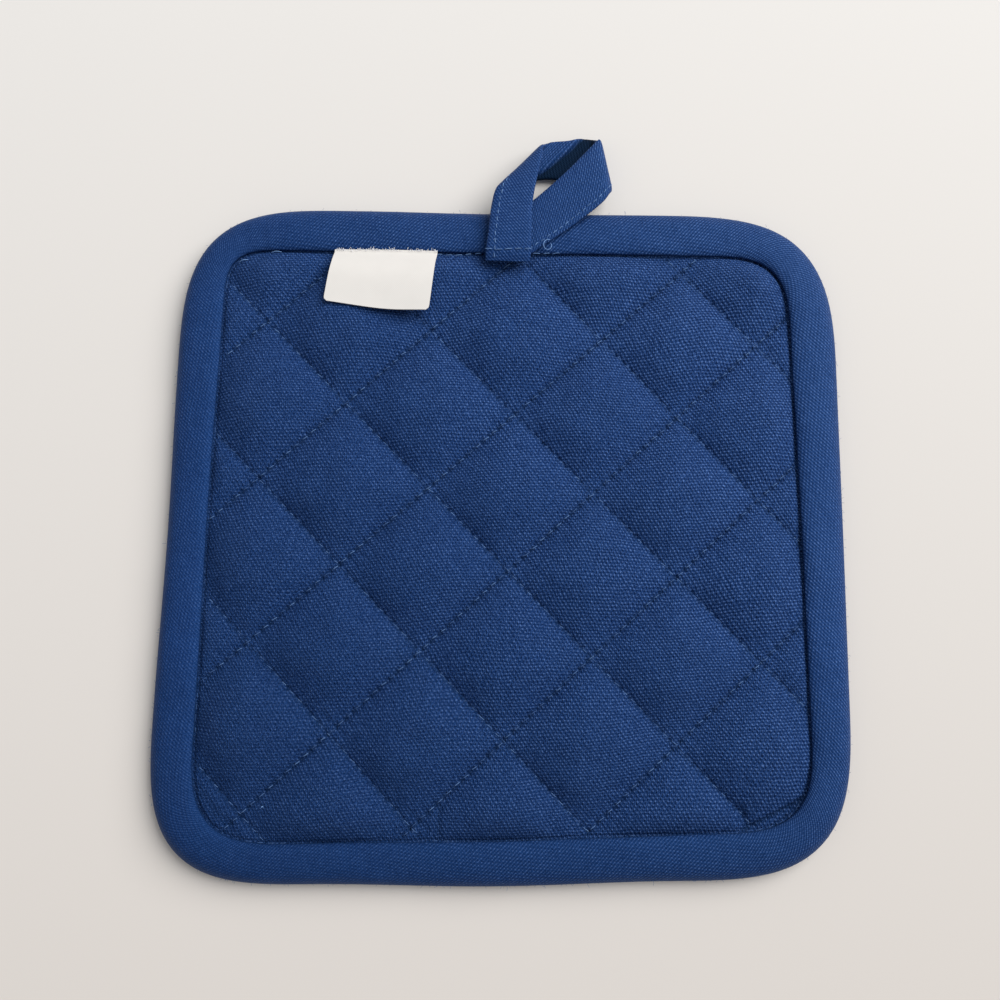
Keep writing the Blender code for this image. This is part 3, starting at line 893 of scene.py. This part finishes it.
def make_loop(material):
    """The tape, cut on the bias, with a cap at each end."""
    rows, _ = tape_surface()
    share, ring, tone = tape_ring(rows)
    count, around = ring.shape[:2]
    faces, corners = grid(count, around, closed_columns=True)
    stitched, folded = distances(rows[:, 0]), distances(rows[:, 1])
    width = np.linalg.norm(rows[0, 1] - rows[0, 0])
    shares = np.concatenate((share, 2 - share[-2:0:-1], (2.0,)))
    row, at = corners[..., 0], shares[corners[..., 1]]
    part = np.where(at > 1, 2 - at, at)
    flat = on_the_bias(-width * at, stitched[row] * (1 - part) + folded[row] * part)
    flat = np.concatenate((flat.reshape(-1, 2), np.zeros((2 * around, 2))))
    faces = closed_ends(faces, count, around)
    return piece_from("loop_cloth", ring.reshape(-1, 3), faces, material, cloth=flat, tone=tone.ravel())


def label_middle():
    """The label's middle surface: rows from its sewn edge to its free one, with the free corners rounded."""
    rows = smooth_rows([section[1:] for section in LABEL_SECTIONS], 14).reshape(-1, 3, 3)
    across = smooth_rows(rows.transpose(1, 0, 2).reshape(3, -1), 16)
    middle = across.reshape(len(across), -1, 3).transpose(1, 0, 2)
    length = np.linalg.norm(middle[-1, 0] - middle[0, 0])
    left = length * (1 - np.linspace(0, 1, len(middle)))
    inset = LABEL_CORNER - np.sqrt(LABEL_CORNER**2 - np.clip(LABEL_CORNER - left, 0, None) ** 2)
    centre = middle.mean(axis=1, keepdims=True)
    half = np.linalg.norm(middle[:, -1] - middle[:, 0], axis=1) / 2
    middle = centre + (middle - centre) * (1 - inset / half)[:, None, None]
    middle[0, :, 1:] += LABEL_TUCK
    return middle


def make_label(material):
    """The label as a thin sheet with sharp edges."""
    middle = label_middle()
    along, sideways = np.gradient(middle, axis=0), np.gradient(middle, axis=1)
    normal = unit(np.cross(sideways, along))
    sheet = np.concatenate((middle + normal * LABEL_HALF, (middle - normal * LABEL_HALF)[:, ::-1]), axis=1)
    count, around = sheet.shape[:2]
    faces = closed_ends(grid(count, around, closed_columns=True)[0], count, around)
    points = sheet.reshape(-1, 3)
    flat = np.concatenate([points[face, :2] for face in faces])
    return piece_from("label_cloth", points, faces, material, cloth=flat, crease=math.radians(50))


def bent_fibre(start, away, bend):
    """Points of a short fibre from its start, which goes away and bends off to one side of that."""
    share = np.linspace(0, 1, 6)[:, None]
    return start + away * share + np.array((-away[1], away[0], 0)) * bend * share**2


def make_label_fray(material):
    """Short white fibres along the label's cut edge, over the binding."""
    random = np.random.default_rng(51)
    edge = label_middle()[0]
    arch = np.sin(math.pi * np.linspace(0, 1, 6) / 1.6)
    paths = []
    for place in random.uniform(0, len(edge) - 1.001, FRAY_FIBRES):
        start = edge[int(place)] + (edge[int(place) + 1] - edge[int(place)]) * (place % 1)
        start = start + np.array((0, random.uniform(-0.5, 0.1), 0.12))
        turn, reach = math.radians(random.normal(90, 50)), 0.18 + random.gamma(1.2, 0.16)
        away = np.array((math.cos(turn), math.sin(turn), 0)) * reach
        path = bent_fibre(start, away, random.uniform(-0.5, 0.5))
        path[:, 2] += 0.35 * arch * random.uniform(0.3, 1.2)
        paths.append(path)
    return threads("label_fray", paths, FRAY_RADIUS, material, random.uniform(1.0, 1.3, len(paths)), sides=4)


def sewn(line, normals, random, middles, seen=STITCH_SEEN, sunk=0.4, crown=0.1, slant=STITCH_SLANT, steps=9):
    """Paths of stitches along a line on the cloth, one at each of the middles, which are distances along it.
    Each comes up at one end, lies on the cloth a little aslant and goes down again."""
    reached = distances(line)
    share = np.linspace(-1, 1, steps)
    paths = []
    for middle in middles:
        places = middle + share * seen / 2 * random.uniform(0.88, 1.12)
        path, up = read_at(places, reached, line), read_at(places, reached, normals)
        beside = unit(np.cross(up, np.gradient(path, axis=0)))
        lift = crown - (crown + sunk) * np.abs(share) ** 4
        lean = slant * random.uniform(0.5, 1.5) * share + random.normal(0, STITCH_WANDER)
        paths.append(path + up * lift[:, None] + beside * lean[:, None])
    return paths


def upwards(line, upper=True):
    return np.tile((0.0, 0.0, 1.0 if upper else -1.0), (len(line), 1))


def quilting_stitches(upper, seed):
    """Paths of the stitches along all quilting seams on one face."""
    random = np.random.default_rng(seed)
    paths = []
    for seam in RISING[1:-1] + FALLING[1:-1]:
        middles = seam.phase + STITCH_PITCH * (np.arange(-90, 90) + 0.5)
        places = seam.start + middles[:, None] * seam.along
        places = places[distance_inside_sewn_line(places) > 1.0]
        if len(places) < 2:
            continue
        step = STITCH_PITCH * seam.along
        places = np.vstack((places[:1] - step, places, places[-1:] + step))
        heights = pad_heights(places, upper)
        heights[[0, -1]] = heights[[1, -2]]
        line = np.column_stack((places, heights))
        middles, normals = distances(line)[1:-1], upwards(line, upper)
        paths += sewn(line, normals, random, middles, crown=seam.look.crown, slant=seam.look.slant)
    return paths


def sewn_line_stitches(upper, seed):
    """Paths of the stitches that hold the binding, down in the ditch beside its edge."""
    random = np.random.default_rng(seed)
    wander = 0.12 + unevenness(*SEWN_LINE.T, 0.06, 20.0, seed)
    height = SEAM_HIGH - 0.45 if upper else SEAM_LOW - 0.1
    height = height + unevenness(*SEWN_LINE.T, 0.22, 30.0, seed + 1)
    line = np.column_stack((SEWN_LINE + wander[:, None] * directions(SEWN_LINE)[1], height))
    line = np.vstack((line, line[:2]))
    length = distances(line)[-2]
    count = round(length / STITCH_PITCH)
    middles = (np.arange(count) + 0.5) * length / count
    return sewn(line, upwards(line, upper), random, middles, slant=0.05)


def tape_surface():
    """The loop's tape as rows of its stitched and folded edges, and a call that reads a place on its upper or
    lower face: how far along the rows, and how far across from the stitched edge."""
    edges = smooth_rows([section[1:] for section in LOOP_SECTIONS], TAPE_STEPS)
    rows = np.stack((edges[:, :3], edges[:, 3:]), axis=1)
    along = np.gradient(rows.mean(axis=1), axis=0)
    normals = unit(np.cross(rows[:, 1] - rows[:, 0], along))
    if normals[0, 2] < 0:
        normals = -normals

    def face(row, share, upper=True):
        at = read_at(row, np.arange(len(rows)), edges)
        at[:, [2, 5]] += run_dip(row, share)[0][:, None]
        share = share[:, None]
        up = unit(read_at(row, np.arange(len(rows)), normals)) * (1 if upper else -1)
        return at[:, :3] * (1 - share) + at[:, 3:] * share + up * TAPE_THICKNESS / 2, up

    return rows, face


def loop_stitches():
    """The seam along the tape's open edge, on both faces, and the rows that hold its end to the pad."""
    random = np.random.default_rng(61)
    rows, face = tape_surface()
    paths = []
    for first, last in TAPE_SEAM_ROWS:
        place = np.linspace(first, last, 200) * TAPE_STEPS
        share = TAPE_SEAM_START + (TAPE_SEAM_END - TAPE_SEAM_START) * place / len(rows)
        for upper in (True, False):
            line, up = face(place, share, upper)
            middles = np.arange(1.5, distances(line)[-1] - 1.5, TAPE_PITCH)
            paths += sewn(line, up, random, middles, TAPE_PITCH * 0.62, sunk=0.15, crown=0.06, slant=0.12)
    for y, start, end, height in TAB_ROWS:
        x = np.linspace(start, end, 40)
        line = np.column_stack((x, y + 0.15 * np.sin(x / 2.1), np.full(40, height)))
        middles = np.arange(1.2, end - start - 1.0, TAB_PITCH)
        paths += sewn(line, upwards(line), random, middles, TAB_PITCH * 0.72, sunk=0.3, crown=0.12, slant=0.1)
    return paths


def loose_ends():
    """Ends of thread: the curl beside the loop, two at the pad's top left corner and a bit of lint."""
    share = np.linspace(0, 1, 26)
    turn = np.radians(70 + 300 * share)
    reach = 1.55 * (1 - 0.75 * np.clip(share - 0.62, 0, 1) ** 1.2 / 0.38)
    arch = 0.9 * np.sin(math.pi * share)
    curl = np.column_stack((reach * np.cos(turn), 1.15 * reach * np.sin(turn), 0.9 * share))
    tail = np.column_stack((3.0 * share, 0.8 * share**0.5, arch))
    bow = np.column_stack((3.3 * share, 0.3 * share, arch))
    lint = np.column_stack((0.5 * share, 0.3 * np.sin(3 * share), 0 * share))
    return [path + place for path, place in zip((curl, tail, bow, lint), LOOSE_ENDS_AT)]


def edge_fibres():
    """Fibres that stand out from the binding's fold."""
    random = np.random.default_rng(71)
    paths = []
    for index in random.integers(0, len(EDGE_LINE), EDGE_FIBRES):
        outwards = unit(EDGE_LINE[index] - SEWN_LINE[index])
        start = np.append(EDGE_LINE[index] - 0.25 * outwards, random.uniform(2.4, 5.0))
        along = np.array((-outwards[1], outwards[0], 0)) * random.normal(0, 0.8)
        away = (np.append(outwards, random.uniform(-0.3, 0.6)) + along) * random.uniform(0.3, 0.85)
        paths.append(bent_fibre(start, away, random.uniform(-0.6, 0.6)))
    return paths


# ---- Camera, light and floor

def make_camera():
    data = bpy.data.cameras.new("camera")
    data.lens, data.sensor_width, data.clip_start = LENS, SENSOR, 0.01
    camera = put_in_scene("camera", data)
    turned = Matrix.Rotation(CAMERA_TILT, 4, "X") @ Matrix.Rotation(CAMERA_ROLL, 4, "Z")
    camera.matrix_world = Matrix.Translation((np.array(CAMERA_AT) + ORIGIN) * MM) @ turned
    bpy.context.scene.camera = camera


def make_light():
    world = bpy.data.worlds.new("soft_studio")
    world.use_nodes = True
    background = world.node_tree.nodes["Background"]
    background.inputs["Color"].default_value = SKY_COLOUR
    background.inputs["Strength"].default_value = SKY_STRENGTH
    bpy.context.scene.world = world
    data = bpy.data.lights.new("window", "AREA")
    data.shape = "DISK"
    data.size, data.energy, data.color = WINDOW_SIZE, WINDOW_POWER, WINDOW_COLOUR
    lamp = put_in_scene("window", data)
    lamp.location = WINDOW_AT
    lamp.rotation_euler = (-Vector(WINDOW_AT)).to_track_quat("-Z", "Y").to_euler()
    bpy.context.scene.view_settings.view_transform = "Standard"


def make_floor():
    bpy.ops.mesh.primitive_plane_add(size=3.0, location=(0, 0, 0))
    floor = bpy.context.object
    floor.name = "floor"
    floor.data.materials.append(plain_floor("pale_floor"))


def declare(piece, node):
    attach(piece, "root")
    if node:
        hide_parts(node)
    return piece


# ---- The scene

make_camera()
make_light()
make_floor()

pad_cotton = woven("pad_cotton", PAD_YARNS, PAD_PAINTED_FALLOFF, 3.0, contrast=0.9, lines=0.2, grain=0.54)
strip_cotton = woven("strip_cotton", STRIP_YARNS, STRIP_PAINTED_FALLOFF, 1.0, contrast=0.42, lines=1.3, grain=0.32)
label_weave = plain_woven("label_weave", LABEL_SHADE, LABEL_WHITE, LABEL_YARNS)
white_fibre = spun("white_fibre", LABEL_WHITE, (0.95, 0.96, 1.0))
blue_thread = spun("blue_thread", THREAD_DARK, THREAD_BRIGHT)

pad = declare(make_pad(pad_cotton), "quilted_pad")
binding = declare(make_binding(strip_cotton), "edge_binding")
loop = declare(make_loop(strip_cotton), "hanging_loop")
label = declare(make_label(label_weave), "care_label")

# name, paths, seed of the tones, their range, slot
for name, paths, seed, tones, slot in (
    ("quilting_threads_upper", quilting_stitches(True, 31), 41, (0.12, 0.7), "quilted_cotton"),
    ("quilting_threads_under", quilting_stitches(False, 32), 42, (0.25, 0.8), "quilted_cotton"),
    # The upper binding stitches lie in the ditch: their dark tones are painted shade, varied at random by
    # stitch
    ("binding_threads_upper", sewn_line_stitches(True, 33), 43, (0.0, 0.3), "binding_cotton"),
    ("binding_threads_under", sewn_line_stitches(False, 34), 44, (0.2, 0.7), "binding_cotton"),
    ("loop_threads", loop_stitches(), 45, (0.5, 1.1), "loop_tape"),
):
    tone = np.random.default_rng(seed).uniform(*tones, len(paths))
    declare(threads(name, paths, THREAD_RADIUS, blue_thread, tone), None)
loose = threads("loose_thread", loose_ends(), LOOSE_RADIUS, blue_thread, (1.0, 1.3, 0.9, 1.3))
nap = threads("edge_fibres", edge_fibres(), FIBRE_RADIUS, blue_thread, np.full(EDGE_FIBRES, 0.45), sides=4)
loose, nap = declare(loose, None), declare(nap, None)
fray = declare(make_label_fray(white_fibre), None)
